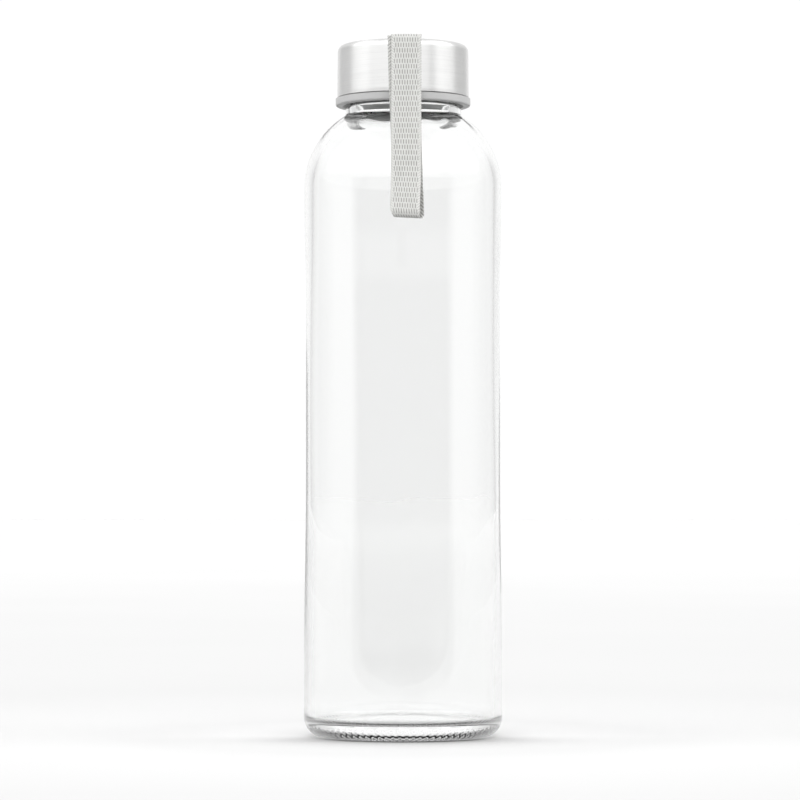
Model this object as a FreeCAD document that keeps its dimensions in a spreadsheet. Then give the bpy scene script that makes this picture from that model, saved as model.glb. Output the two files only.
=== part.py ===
"""Glass water bottle with a screw lid and a webbing carry loop, as separate pieces.

Millimetres, +Z up. The origin is the middle of the base, on the surface the bottle stands on.
The front is -Y: the carry loop comes out behind the lid, lies across it and hangs down in front.
The lid has a right-hand thread: turning it anticlockwise, seen from above, raises it by one lead a turn.
"""
import FreeCAD, Part

import math
import os
import re

import Sketcher

SIZES = {
    # Glass: outside
    "belt_radius": 32.5,
    "waist_radius": 31.9,
    "waist_low_start": 24.0,
    "waist_low_end": 84.0,
    "waist_high_start": 143.0,
    "waist_high_end": 177.0,
    "shoulder_start": 180.0,
    "shoulder_radius": 27.2,
    "heel_radius": 5.8,
    "stand_inner_radius": 23.6,
    "push_up": 2.6,
    # Glass: inside
    "wall": 2.7,
    "floor_edge": 5.0,
    "floor_crown": 2.2,
    "floor_corner_radius": 2.0,
    # Glass: neck and its screw finish
    "bead_radius": 19.1,
    "bead_top": 206.0,
    "neck_fillet": 1.0,
    "finish_radius": 17.6,
    "bore_radius": 15.4,
    "lip_top": 223.2,
    "lip_round": 0.9,
    # Thread, the same lead on the glass and in the lid
    "lead": 4.2333,
    "thread_turns": 1.5,
    "thread_start": 212.6,
    "glass_thread_radius": 18.75,
    "lid_thread_radius": 17.95,
    "thread_root_width": 2.0,
    "thread_crest_width": 0.9,
    "thread_gap": 0.2,
    "thread_bite": 0.4,
    # Lid: drawn steel shell
    "lid_top": 226.9,
    "shell_low_radius": 21.65,
    "shell_top_radius": 21.5,
    "shell_bottom": 209.4,
    "shell_sheet": 0.5,
    "shell_round": 2.2,
    # Lid: moulded liner, with the ring that shows below the shell
    "liner_radius": 20.95,
    "liner_bore": 19.05,
    "liner_gap": 0.1,
    "liner_ceiling": 1.5,
    "boss_radius": 13.6,
    "boss_drop": 2.0,
    "ring_radius": 22.2,
    "ring_top": 209.15,
    "ring_bottom": 206.7,
    "ring_mouth_radius": 19.8,
    "ring_lead_in": 1.4,
    "ring_round": 0.6,
    # Lid: silicone seal
    "seal_outer_radius": 18.9,
    "seal_gap": 0.05,
    # Webbing: two layers, sewn into a loop whose ends are held behind the shell
    "strap_width": 10.0,
    "strap_thickness": 0.9,
    "strap_clearance": 0.2,
    "strap_hinge_height": 208.8,
    "strap_root_drop": 0.35,
    "strap_back_bend": 2.0,
    "strap_front_bend": 1.6,
    "strap_slope_deg": 15.0,
    "strap_standoff": 0.6,
    "strap_end": 167.0,
    "strap_fold_radius": 1.8,
    "tail_inner_radius": 19.95,
    "tail_mouth_radius": 21.5,
    "tail_top": 217.5,
    "tail_span_deg": 28.0,
    "pocket_inner_radius": 19.85,
    "pocket_bottom": 207.95,
    "pocket_top": 218.0,
    "pocket_span_deg": 31.0,
    "stitch_width": 0.3,
    "stitch_length": 4.0,
    "stitch_thickness": 0.1,
    "stitch_count": 7,
    "stitch_pitch_deg": 3.4,
}

doc = FreeCAD.newDocument("glass_water_bottle")
sheet = doc.addObject("Spreadsheet::Sheet", "sizes")
for row, (alias, size) in enumerate(SIZES.items(), start=1):
    sheet.set(f"A{row}", alias)
    sheet.set(f"B{row}", str(size))
    sheet.setAlias(f"B{row}", alias)
doc.recompute()

FUNCTIONS = {"sqrt", "sin", "cos", "tan", "pi"}
SAME_POINT = 1e-6
SAME_RING = 0.01


def sized(formula):
    """The formula with each size's name pointed at the sheet."""
    def point(match):
        word = match.group()
        return word if word in FUNCTIONS else "sizes." + word
    return re.sub(r"[a-z][a-z_]+", point, formula)


def value(formula):
    """What a formula of the sheet's sizes comes to now."""
    found = sheet.evalExpression(sized(formula))
    return float(getattr(found, "Value", found))


def origin_plane(body, role):
    return next(o for o in body.Origin.OriginFeatures if o.Role == role)


def new_body(label):
    body = doc.addObject("PartDesign::Body", label)
    body.Label = label
    body.AllowCompound = True
    return body


def new_sketch(body, name, role, lift=None):
    """A sketch on one of the body's own planes, raised along the plane's normal by the formula lift."""
    sketch = body.newObject("Sketcher::SketchObject", name)
    sketch.AttachmentSupport = [(origin_plane(body, role), "")]
    sketch.MapMode = "FlatFace"
    if lift is not None:
        sketch.setExpression("AttachmentOffset.Base.z", sized(lift))
    doc.recompute()
    return sketch


def pin_point(sketch, edge, end, across, up):
    """Holds one end of an edge at the formulas across and up, measured from the sketch's origin."""
    for kind, formula in (("DistanceX", across), ("DistanceY", up)):
        at = value(formula)
        if formula == "0":
            fixed = "PointOnObject"
            axis = -2 if kind == "DistanceX" else -1
            sketch.addConstraint(Sketcher.Constraint(fixed, edge, end, axis))
            continue
        index = sketch.addConstraint(Sketcher.Constraint(kind, -1, 1, edge, end, at))
        sketch.setExpression(f"Constraints[{index}]", sized(formula))


def arc_between(start, end, radius, side):
    """The shorter arc from start to end. It bows to the left of that way if side is 1, to the right if -1."""
    middle = (start + end) / 2
    half = (end - start).Length / 2
    left = FreeCAD.Vector(start.y - end.y, end.x - start.x, 0).normalize()
    rise = radius - math.sqrt(radius ** 2 - half ** 2)
    return Part.Arc(start, middle + left * side * rise, end)


def outline(sketch, corners, bows=None):
    """Draws a closed outline through the corners, each a pair of formulas.

    bows gives the arcs: the number of the corner where each starts, with its radius and its side.
    """
    bows = bows or {}
    points = [FreeCAD.Vector(value(across), value(up), 0) for across, up in corners]
    edges = []
    for i, start in enumerate(points):
        end = points[(i + 1) % len(points)]
        if i in bows:
            radius, side = bows[i]
            shape = arc_between(start, end, value(radius), side)
        else:
            shape = Part.LineSegment(start, end)
        edges.append(sketch.addGeometry(shape, False))
    ends = [arc_ends(sketch, edge, points[i]) for i, edge in enumerate(edges)]
    for i, edge in enumerate(edges):
        pin_point(sketch, edge, ends[i][0], *corners[i])
        following = (i + 1) % len(edges)
        join = Sketcher.Constraint("Coincident", edge, ends[i][1], edges[following], ends[following][0])
        sketch.addConstraint(join)
        if i in bows:
            index = sketch.addConstraint(Sketcher.Constraint("Radius", edge, value(bows[i][0])))
            sketch.setExpression(f"Constraints[{index}]", sized(bows[i][0]))
    doc.recompute()


def arc_ends(sketch, edge, start):
    """The sketcher's numbers for an edge's first and last end, as an arc may be stored the other way round."""
    first = sketch.getPoint(edge, 1)
    return (1, 2) if (first - start).Length < SAME_POINT else (2, 1)


def revolve(body, sketch, name, turn="360", centred=False):
    """Turns an upright section about Z."""
    solid = body.newObject("PartDesign::Revolution", name)
    solid.Profile = sketch
    solid.ReferenceAxis = (sketch, ["V_Axis"])
    solid.Midplane = centred
    solid.setExpression("Angle", sized(turn))
    doc.recompute()
    body.Tip = solid
    return solid


def ring_names(shape, radius, height):
    """The names of the shape's circular edges of this radius at this height."""
    found = []
    for number, edge in enumerate(shape.Edges, start=1):
        if edge.Degenerated or not isinstance(edge.Curve, Part.Circle):
            continue
        same_radius = abs(edge.Curve.Radius - radius) < SAME_RING
        if same_radius and abs(edge.Curve.Center.z - height) < SAME_RING:
            found.append(f"Edge{number}")
    return found


def round_rings(body, name, rings, radius):
    """Rounds circular edges about Z, each given by its radius and height."""
    base = body.Tip
    names = []
    for ring_radius, height in rings:
        found = ring_names(base.Shape, value(ring_radius), value(height))
        if not found:
            raise ValueError(f"{name}: no edge of radius {ring_radius} at {height}")
        names += found
    fillet = body.newObject("PartDesign::Fillet", name)
    fillet.Base = (base, names)
    fillet.setExpression("Radius", sized(radius))
    doc.recompute()
    body.Tip = fillet
    return fillet


def helix(body, sketch, name):
    """Sweeps a thread's section up round Z for the thread's turns."""
    ridge = body.newObject("PartDesign::AdditiveHelix", name)
    ridge.Profile = sketch
    ridge.ReferenceAxis = (sketch, ["V_Axis"])
    ridge.Mode = "pitch-turns-angle"
    ridge.setExpression("Pitch", sized("lead"))
    ridge.setExpression("Turns", sized("thread_turns"))
    ridge.LeftHanded = False
    ridge.Reversed = False
    doc.recompute()
    body.Tip = ridge
    return ridge


def thread_section(root, crest, low, bite):
    """The corners of a thread's section: its root buried by bite, its lower edge at the height low."""
    shrink = "(thread_root_width - thread_crest_width) / 2"
    return [
        (f"{root} {bite}", low),
        (root, low),
        (crest, f"{low} + {shrink}"),
        (crest, f"{low} + {shrink} + thread_crest_width"),
        (root, f"{low} + thread_root_width"),
        (f"{root} {bite}", f"{low} + thread_root_width"),
    ]


def s_bend(length, offset):
    """The radius of the two equal arcs that step a wall sideways by offset along the given length."""
    return f"(({length})^2 + ({offset})^2) / (4 * ({offset}))"


def glass_bottle():
    body = new_body("glass_bottle")
    section = new_sketch(body, "glass_section", "XZ_Plane")
    centre = "(belt_radius - shoulder_radius)"
    inner_shoulder = "(shoulder_radius - wall)"
    waist_step = "belt_radius - waist_radius"
    low_length = "waist_low_end - waist_low_start"
    high_length = "waist_high_end - waist_high_start"
    middle_radius = "(belt_radius + waist_radius) / 2"
    corners = [
        ("0", "push_up"),
        ("stand_inner_radius", "0"),
        ("belt_radius", "0"),
        ("belt_radius", "waist_low_start"),
        (middle_radius, "(waist_low_start + waist_low_end) / 2"),
        ("waist_radius", "waist_low_end"),
        ("waist_radius", "waist_high_start"),
        (middle_radius, "(waist_high_start + waist_high_end) / 2"),
        ("belt_radius", "waist_high_end"),
        ("belt_radius", "shoulder_start"),
        ("bead_radius", f"shoulder_start + sqrt(shoulder_radius^2 - (bead_radius - {centre})^2)"),
        ("bead_radius", "bead_top"),
        ("finish_radius", "bead_top"),
        ("finish_radius", "lip_top"),
        ("bore_radius", "lip_top"),
        ("bore_radius", f"shoulder_start + sqrt({inner_shoulder}^2 - (bore_radius - {centre})^2)"),
        ("belt_radius - wall", "shoulder_start"),
        ("belt_radius - wall", "floor_edge"),
        ("0", "floor_edge + floor_crown"),
    ]
    bows = {
        0: ("(stand_inner_radius^2 + push_up^2) / (2 * push_up)", 1),
        3: (s_bend(low_length, waist_step), -1),
        4: (s_bend(low_length, waist_step), 1),
        6: (s_bend(high_length, waist_step), 1),
        7: (s_bend(high_length, waist_step), -1),
        9: ("shoulder_radius", -1),
        15: (inner_shoulder, 1),
        17: ("((belt_radius - wall)^2 + floor_crown^2) / (2 * floor_crown)", -1),
    }
    outline(section, corners, bows)
    revolve(body, section, "blown_glass")
    round_rings(body, "heel", [("belt_radius", "0")], "heel_radius")
    round_rings(body, "floor_corner", [corners[17]], "floor_corner_radius")
    round_rings(body, "neck_root", [corners[10]], "neck_fillet")
    round_rings(body, "lip", [corners[13], corners[14]], "lip_round")
    thread = new_sketch(body, "glass_thread_section", "XZ_Plane")
    outline(thread, thread_section("finish_radius", "glass_thread_radius", "thread_start", "- thread_bite"))
    helix(body, thread, "glass_thread")


def lid_shell():
    body = new_body("lid_shell")
    section = new_sketch(body, "shell_section", "XZ_Plane")
    corners = [
        ("0", "lid_top"),
        ("shell_top_radius", "lid_top"),
        ("shell_low_radius", "shell_bottom"),
        ("shell_low_radius - shell_sheet", "shell_bottom"),
        ("shell_top_radius - shell_sheet", "lid_top - shell_sheet"),
        ("0", "lid_top - shell_sheet"),
    ]
    outline(section, corners)
    revolve(body, section, "drawn_cup")
    round_rings(body, "outer_round", [corners[1]], "shell_round")
    round_rings(body, "inner_round", [corners[4]], "shell_round - shell_sheet")


def lid_liner():
    body = new_body("lid_liner")
    section = new_sketch(body, "liner_section", "XZ_Plane")
    top = "lid_top - shell_sheet - liner_gap"
    ceiling = f"{top} - liner_ceiling"
    corners = [
        ("0", top),
        ("liner_radius - shell_round + shell_sheet", top),
        ("liner_radius", f"{top} - shell_round + shell_sheet"),
        ("liner_radius", "ring_top"),
        ("ring_radius", "ring_top"),
        ("ring_radius", "ring_bottom"),
        ("ring_mouth_radius", "ring_bottom"),
        ("liner_bore", "ring_bottom + ring_lead_in"),
        ("liner_bore", ceiling),
        ("boss_radius", ceiling),
        ("boss_radius", f"{ceiling} - boss_drop"),
        ("0", f"{ceiling} - boss_drop"),
    ]
    bows = {1: ("shell_round - shell_sheet", 1)}
    outline(section, corners, bows)
    revolve(body, section, "moulded_cup")
    round_rings(body, "ring_edge", [corners[5]], "ring_round")
    strap_pocket(body)
    thread = new_sketch(body, "liner_thread_section", "XZ_Plane")
    low = "thread_start - thread_root_width / 2 - thread_crest_width / 2 - thread_gap"
    outline(thread, thread_section("liner_bore", "lid_thread_radius", low, "+ thread_bite"))
    helix(body, thread, "liner_thread")


def strap_pocket(body):
    """Cuts the pocket behind the shell, open through the ring's top, where the webbing's ends lie."""
    before = body.Tip.Shape.Volume
    section = new_sketch(body, "pocket_section", "YZ_Plane")
    corners = [
        ("pocket_inner_radius", "pocket_bottom"),
        ("ring_radius + strap_thickness", "pocket_bottom"),
        ("ring_radius + strap_thickness", "pocket_top"),
        ("pocket_inner_radius", "pocket_top"),
    ]
    outline(section, corners)
    groove = body.newObject("PartDesign::Groove", "strap_pocket")
    groove.Profile = section
    groove.ReferenceAxis = (section, ["V_Axis"])
    groove.Midplane = True
    groove.setExpression("Angle", sized("pocket_span_deg"))
    doc.recompute()
    body.Tip = groove
    if groove.Shape.Volume >= before:
        raise ValueError("the strap's pocket cut nothing")


def seal_gasket():
    body = new_body("seal_gasket")
    section = new_sketch(body, "seal_section", "XZ_Plane")
    low = "lip_top + seal_gap"
    high = "lid_top - shell_sheet - liner_gap - liner_ceiling - seal_gap"
    corners = [
        ("boss_radius + seal_gap", low),
        ("seal_outer_radius", low),
        ("seal_outer_radius", high),
        ("boss_radius + seal_gap", high),
    ]
    outline(section, corners)
    revolve(body, section, "silicone_ring")


def strap_path():
    """The middle line of the webbing in the YZ plane, as straight runs joined by tangent bends."""
    half = value("strap_thickness / 2")
    back = value("shell_low_radius + strap_clearance") + half
    top = value("lid_top + strap_clearance") + half
    slope = math.radians(value("strap_slope_deg"))
    normal = FreeCAD.Vector(-math.cos(slope), math.sin(slope), 0)
    shoulder = FreeCAD.Vector(-value("belt_radius - shoulder_radius"), value("shoulder_start"), 0)
    reach = normal.dot(shoulder) + value("shoulder_radius + strap_standoff") + half
    end = value("strap_end + strap_fold_radius")

    def on_slope(height):
        return FreeCAD.Vector((normal.y * height - reach) / -normal.x, height, 0)

    knees = [
        FreeCAD.Vector(back, value("strap_hinge_height - strap_root_drop"), 0),
        FreeCAD.Vector(back, top, 0),
        on_slope(top),
        on_slope(end),
    ]
    return knees, [value("strap_back_bend"), value("strap_front_bend")]


def bent_edges(knees, radii):
    """Lines between the knees, with a tangent arc of the given radius at each inner one."""
    edges = []
    start = knees[0]
    for before, knee, after, radius in zip(knees, knees[1:], knees[2:], radii):
        inward = (before - knee).normalize()
        outward = (after - knee).normalize()
        half_turn = (math.pi - inward.getAngle(outward)) / 2
        reach = radius * math.tan(half_turn)
        middle_way = (inward + outward).normalize()
        top = knee + middle_way * radius * (1 / math.cos(half_turn) - 1)
        edges.append(Part.LineSegment(start, knee + inward * reach))
        edges.append(Part.Arc(knee + inward * reach, top, knee + outward * reach))
        start = knee + outward * reach
    edges.append(Part.LineSegment(start, knees[-1]))
    return edges


def strap_loop():
    body = new_body("strap_loop")
    knees, radii = strap_path()
    path = new_sketch(body, "strap_path", "YZ_Plane")
    for edge in bent_edges(knees, radii):
        path.addGeometry(edge, False)
    section = new_sketch(body, "strap_section", "XY_Plane", "strap_hinge_height - strap_root_drop")
    near = "shell_low_radius + strap_clearance"
    corners = [
        ("-strap_width / 2", near),
        ("strap_width / 2", near),
        ("strap_width / 2", f"{near} + strap_thickness"),
        ("-strap_width / 2", f"{near} + strap_thickness"),
    ]
    outline(section, corners)
    webbing = body.newObject("PartDesign::AdditivePipe", "webbing")
    webbing.Profile = section
    webbing.Spine = (path, [f"Edge{i + 1}" for i in range(path.GeometryCount)])
    doc.recompute()
    fold = new_sketch(body, "fold_section", "YZ_Plane")
    circle = Part.Circle(knees[-1], FreeCAD.Vector(0, 0, 1), value("strap_fold_radius"))
    fold.addGeometry(circle, False)
    index = fold.addConstraint(Sketcher.Constraint("Radius", 0, circle.Radius))
    fold.setExpression(f"Constraints[{index}]", sized("strap_fold_radius"))
    bead = body.newObject("PartDesign::Pad", "fold_bead")
    bead.Profile = fold
    bead.Midplane = True
    bead.setExpression("Length", sized("strap_width"))
    doc.recompute()
    body.Tip = bead


def strap_tail():
    """The webbing's two ends inside the lid: flat against the liner, then out under the shell's edge."""
    body = new_body("strap_tail")
    section = new_sketch(body, "tail_section", "YZ_Plane")
    low = "pocket_bottom + strap_clearance / 2"
    corners = [
        ("tail_inner_radius", low),
        ("tail_mouth_radius", low),
        ("tail_mouth_radius", f"{low} + strap_thickness"),
        ("tail_inner_radius + strap_thickness", f"{low} + strap_thickness"),
        ("tail_inner_radius + strap_thickness", "tail_top"),
        ("tail_inner_radius", "tail_top"),
    ]
    outline(section, corners)
    revolve(body, section, "sewn_ends", "tail_span_deg", centred=True)


def strap_stitching():
    """A row of bar-tack stitches that joins the webbing's ends, on the outer face of the tail."""
    stitches = []
    count = int(value("stitch_count"))
    for number in range(count):
        stitch = doc.addObject("Part::Box", f"stitch_{number}")
        stitch.setExpression("Length", sized("stitch_width"))
        stitch.setExpression("Width", sized("stitch_thickness"))
        stitch.setExpression("Height", sized("stitch_length"))
        turn = math.radians((number - (count - 1) / 2) * value("stitch_pitch_deg"))
        radius = value("tail_inner_radius + strap_thickness")
        width = value("stitch_width")
        inner = math.sqrt(radius ** 2 + (width / 2) ** 2)
        spin = FreeCAD.Rotation(FreeCAD.Vector(0, 0, 1), -math.degrees(turn))
        corner = spin.multVec(FreeCAD.Vector(-width / 2, inner, 0))
        corner.z = value("tail_top - stitch_length - stitch_length / 4")
        stitch.Placement = FreeCAD.Placement(corner, spin)
        stitches.append(stitch)
    group = doc.addObject("Part::Compound", "strap_stitching")
    group.Label = "strap_stitching"
    group.Links = stitches
    doc.recompute()


def write_nodes(labels):
    """Checks every object and writes each piece's solid."""
    doc.recompute()
    for thing in doc.Objects:
        if "Invalid" in thing.State or "Error" in thing.State:
            raise ValueError(f"{thing.Name} did not build: {thing.State}")
    os.makedirs("parts", exist_ok=True)
    for label in labels:
        piece = doc.getObjectsByLabel(label)[0]
        shape = piece.Shape
        if shape.isNull() or not shape.isValid():
            raise ValueError(f"{label} has no valid shape")
        shape.exportStep(f"parts/{label}.step")
        box = shape.optimalBoundingBox(False)
        print(f"{label}: {len(shape.Solids)} solids, {shape.Volume:.0f} mm3, z {box.ZMin:.2f} to {box.ZMax:.2f}")


PIECES = (glass_bottle, lid_shell, lid_liner, seal_gasket, strap_loop, strap_tail, strap_stitching)
for build in PIECES:
    build()
write_nodes([build.__name__ for build in PIECES])
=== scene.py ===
"""The looks of the glass water bottle, in metres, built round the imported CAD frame.

+Z is up and the front is -Y. The origin is the middle of the base, on the floor.
A turned piece is a closed outline of (radius, height) points swept about Z.
"""

import math

import bpy
import numpy as np
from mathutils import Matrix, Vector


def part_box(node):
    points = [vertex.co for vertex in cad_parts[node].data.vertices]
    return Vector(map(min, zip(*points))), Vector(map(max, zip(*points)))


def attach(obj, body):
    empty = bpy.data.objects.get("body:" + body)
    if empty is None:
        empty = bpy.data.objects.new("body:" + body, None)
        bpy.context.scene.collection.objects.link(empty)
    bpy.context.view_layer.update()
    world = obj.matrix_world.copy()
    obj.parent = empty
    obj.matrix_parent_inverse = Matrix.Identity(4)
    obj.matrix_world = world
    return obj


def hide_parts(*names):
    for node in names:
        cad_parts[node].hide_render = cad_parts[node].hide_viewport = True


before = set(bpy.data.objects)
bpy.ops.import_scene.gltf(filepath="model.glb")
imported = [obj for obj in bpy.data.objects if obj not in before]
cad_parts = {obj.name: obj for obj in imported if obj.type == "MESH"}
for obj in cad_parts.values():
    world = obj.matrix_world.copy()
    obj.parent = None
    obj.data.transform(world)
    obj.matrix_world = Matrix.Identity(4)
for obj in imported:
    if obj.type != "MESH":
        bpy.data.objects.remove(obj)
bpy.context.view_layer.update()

MM = 0.001
TURN = 2 * math.pi

GLASS_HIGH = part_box("glass_bottle")[1]
SHELL_LOW, SHELL_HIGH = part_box("lid_shell")
STRAP_LOW, STRAP_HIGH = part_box("strap_loop")
TAIL_LOW, TAIL_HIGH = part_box("strap_tail")
STITCH_LOW, STITCH_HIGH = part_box("strap_stitching")


# ---------------------------------------------------------------- outlines and meshes

def arc(centre, radius, start, end, steps):
    """Points on an arc from start to end, in degrees, both ends included."""
    turns = np.radians(np.linspace(start, end, steps + 1))
    return [(centre[0] + radius * math.cos(t), centre[1] + radius * math.sin(t)) for t in turns]


def line(start, end, steps):
    """Points on a line, without its two ends."""
    shares = np.linspace(0, 1, steps + 1)[1:-1]
    return [tuple(np.array(start) * (1 - s) + np.array(end) * s) for s in shares]


def smooth(low, high, at):
    """0 below low, 1 above high, and smooth between. It works on numbers and arrays."""
    share = np.clip((np.asarray(at, float) - low) / (high - low), 0, 1)
    return share * share * (3 - 2 * share)


def ring_faces(first, second, count):
    """Faces between two rings of count points each, given the number of each ring's first point."""
    here = np.arange(count)
    there = (here + 1) % count
    return np.stack([first + here, first + there, second + there, second + here], 1).tolist()


def tube_faces(first, rings, count):
    """Faces of a tube of rings of count points each, then its two end caps."""
    faces = []
    for number in range(rings - 1):
        faces += ring_faces(first + number * count, first + (number + 1) * count, count)
    last = first + (rings - 1) * count
    faces.append(list(range(first + count - 1, first - 1, -1)))
    faces.append(list(range(last, last + count)))
    return faces


def flipped(faces):
    return [list(reversed(face)) for face in faces]


def zip_faces(coarse, fine, count, ratio, fine_above):
    """Triangles that join a ring of count points to one of count * ratio points."""
    faces = []
    half = ratio // 2
    for i in range(count):
        here, there = coarse + i, coarse + (i + 1) % count
        steps = [fine + (i * ratio + k) % (count * ratio) for k in range(ratio + 1)]
        found = [(here, steps[k + 1], steps[k]) for k in range(half)]
        found.append((here, there, steps[half]))
        found += [(there, steps[k + 1], steps[k]) for k in range(half, ratio)]
        faces += [list(face) for face in found] if fine_above else flipped(found)
    return faces


def new_piece(name, points, faces, material, body):
    """A smooth-shaded mesh piece that rides on a body."""
    mesh = bpy.data.meshes.new(name)
    mesh.from_pydata(np.asarray(points, float).tolist(), [], faces)
    mesh.polygons.foreach_set("use_smooth", [True] * len(mesh.polygons))
    mesh.materials.append(material)
    mesh.update()
    piece = bpy.data.objects.new(name, mesh)
    bpy.context.scene.collection.objects.link(piece)
    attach(piece, body)
    return piece


# ---------------------------------------------------------------- shader nodes

def new_material(name):
    """A material with an empty node tree but for its Principled shader, and that shader."""
    material = bpy.data.materials.new(name)
    material.use_nodes = True
    tree = material.node_tree
    shader = next(n for n in tree.nodes if n.type == "BSDF_PRINCIPLED")
    return material, tree, shader


def add_node(tree, kind, settings=None, **inputs):
    """A node with its settings and inputs. An input's name has _ for each space."""
    made = tree.nodes.new(kind)
    for name, value in (settings or {}).items():
        setattr(made, name, value)
    for name, value in inputs.items():
        feed(tree, made.inputs[name.replace("_", " ")], value)
    return made


def feed(tree, socket, value):
    """Sets a socket, or links it if value is another node's output."""
    if isinstance(value, bpy.types.NodeSocket):
        tree.links.new(value, socket)
    else:
        socket.default_value = value


def maths(tree, operation, first, second=None):
    made = tree.nodes.new("ShaderNodeMath")
    made.operation = operation
    for socket, value in zip(made.inputs, (first, second)):
        if value is not None:
            feed(tree, socket, value)
    return made.outputs[0]


def remap(tree, value, low, high, to_low=0.0, to_high=1.0):
    """value eased from to_low at low to to_high at high, and held outside."""
    made = tree.nodes.new("ShaderNodeMapRange")
    made.interpolation_type = "SMOOTHSTEP"
    for socket, number in zip(made.inputs, (value, low, high, to_low, to_high)):
        feed(tree, socket, number)
    return made.outputs[0]


def noise(tree, vector, scale, detail=2.0, roughness=0.5):
    made = add_node(tree, "ShaderNodeTexNoise", Vector=vector, Scale=scale, Detail=detail)
    made.inputs["Roughness"].default_value = roughness
    return made.outputs["Fac"]


def two_tone(tree, value, dark, light, low=0.3, high=0.7):
    """A colour that goes from dark to light as value goes from low to high."""
    ramp = tree.nodes.new("ShaderNodeValToRGB")
    ramp.color_ramp.elements[0].position = low
    ramp.color_ramp.elements[0].color = (*dark, 1)
    ramp.color_ramp.elements[1].position = high
    ramp.color_ramp.elements[1].color = (*light, 1)
    feed(tree, ramp.inputs["Fac"], value)
    return ramp.outputs["Color"]


def bump(tree, height, strength, distance):
    made = add_node(tree, "ShaderNodeBump", Height=height, Strength=strength, Distance=distance)
    return made.outputs["Normal"]


def object_point(tree):
    return tree.nodes.new("ShaderNodeTexCoord").outputs["Object"]


# ---------------------------------------------------------------- glass

SEGMENTS = 189
BAR_COUNT = 84
FINE_RATIO = 4
BAR_HEIGHT = 0.38 * MM
BAR_INNER = 24.6 * MM
BAR_OUTER = 31.2 * MM

BELT_RADIUS = GLASS_HIGH.x
WAIST_STEP = 0.6 * MM
WAIST_LOW = (24.0 * MM, 84.0 * MM)
WAIST_HIGH = (143.0 * MM, 177.0 * MM)
SHOULDER_START = 180.0 * MM
SHOULDER_RADIUS = 27.2 * MM
HEEL_WIDTH = 5.5 * MM
HEEL_HEIGHT = 6.0 * MM
HEEL_FLATNESS = 1.9
STAND_RADIUS = 23.6 * MM
PUSH_UP = 2.6 * MM
GLASS_AXIS_GAP = 0.15 * MM
NUB_RADIUS = 1.6 * MM
NUB_HEIGHT = 0.5 * MM

WALL = 2.7 * MM
FLOOR_EDGE = 5.0 * MM
FLOOR_CROWN = 2.2 * MM
FLOOR_CORNER = 2.0 * MM

BEAD_RADIUS = 19.1 * MM
BEAD_TOP = 206.0 * MM
BEAD_ROUND = 0.4 * MM
NECK_FILLET = 1.0 * MM
NECK_WOBBLE_EDGE = (SHOULDER_START + 16 * MM, BEAD_TOP - 6 * MM)
WAVE_EDGE = (12 * MM, 20 * MM)
WAVE_RUN_OUT = 4 * MM
FINISH_RADIUS = 17.6 * MM
BORE_RADIUS = 15.4 * MM
BORE_ROUND = 2.5 * MM
LIP_ROUND = 0.9 * MM

LEAD = 4.2333 * MM
THREAD_TURNS = 1.5
THREAD_START = 212.6 * MM
THREAD_HEIGHT = 1.15 * MM
THREAD_ROOT = 2.0 * MM
THREAD_CREST = 0.9 * MM
THREAD_RUN_OUT = 0.06


def waist(height):
    """The outside radius of the body at a height, between the heel and the shoulder."""
    inside = smooth(*WAIST_LOW, height) * (1 - smooth(*WAIST_HIGH, height))
    return BELT_RADIUS - WAIST_STEP * inside


def glass_base():
    """From the middle of the push-up out to the stand ring."""
    points = []
    for radius in np.linspace(GLASS_AXIS_GAP, STAND_RADIUS, 34):
        share = radius / STAND_RADIUS
        height = PUSH_UP * (1 - share ** 2)
        height -= NUB_HEIGHT * math.exp(-(radius / NUB_RADIUS) ** 4)
        points.append((radius, max(height, 0.0)))
    return points


def glass_heel():
    """The stand ring and the heel, a slightly flattened quarter ellipse, as far as the body."""
    start = BELT_RADIUS - HEEL_WIDTH
    points = line((STAND_RADIUS, 0), (start, 0), 6)
    power = 2 / HEEL_FLATNESS
    for turn in np.radians(np.linspace(0, 90, 26)):
        across = HEEL_WIDTH * math.sin(turn) ** power
        points.append((start + across, HEEL_HEIGHT * (1 - max(math.cos(turn), 0) ** power)))
    return points


def glass_outside():
    """The body, shoulder and neck bead, from the heel up to the foot of the finish."""
    rows = np.linspace(HEEL_HEIGHT, SHOULDER_START, 72)[1:-1]
    points = [(float(waist(height)), height) for height in rows]
    centre = (BELT_RADIUS - SHOULDER_RADIUS, SHOULDER_START)
    reach = BEAD_RADIUS + NECK_FILLET - centre[0]
    top = math.degrees(math.acos(reach / (SHOULDER_RADIUS + NECK_FILLET)))
    rise = math.sqrt((SHOULDER_RADIUS + NECK_FILLET) ** 2 - reach ** 2)
    points += arc(centre, SHOULDER_RADIUS, 0, top, 30)
    fillet = (BEAD_RADIUS + NECK_FILLET, SHOULDER_START + rise)
    points += arc(fillet, NECK_FILLET, 180 + top, 180, 6)[1:]
    bead = (BEAD_RADIUS - BEAD_ROUND, BEAD_TOP - BEAD_ROUND)
    points += arc(bead, BEAD_ROUND, 0, 90, 4)
    root = (FINISH_RADIUS + BEAD_ROUND, BEAD_TOP + BEAD_ROUND)
    return points + arc(root, BEAD_ROUND, 270, 180, 4)


def glass_finish():
    """The neck's outside above the bead, the lip and the bore."""
    lip = GLASS_HIGH.z - LIP_ROUND
    low = (FINISH_RADIUS, BEAD_TOP + BEAD_ROUND)
    points = line(low, (FINISH_RADIUS, lip), 76)
    points += arc((FINISH_RADIUS - LIP_ROUND, lip), LIP_ROUND, 0, 90, 6)
    points += arc((BORE_RADIUS + LIP_ROUND, lip), LIP_ROUND, 90, 180, 6)
    return points


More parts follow.
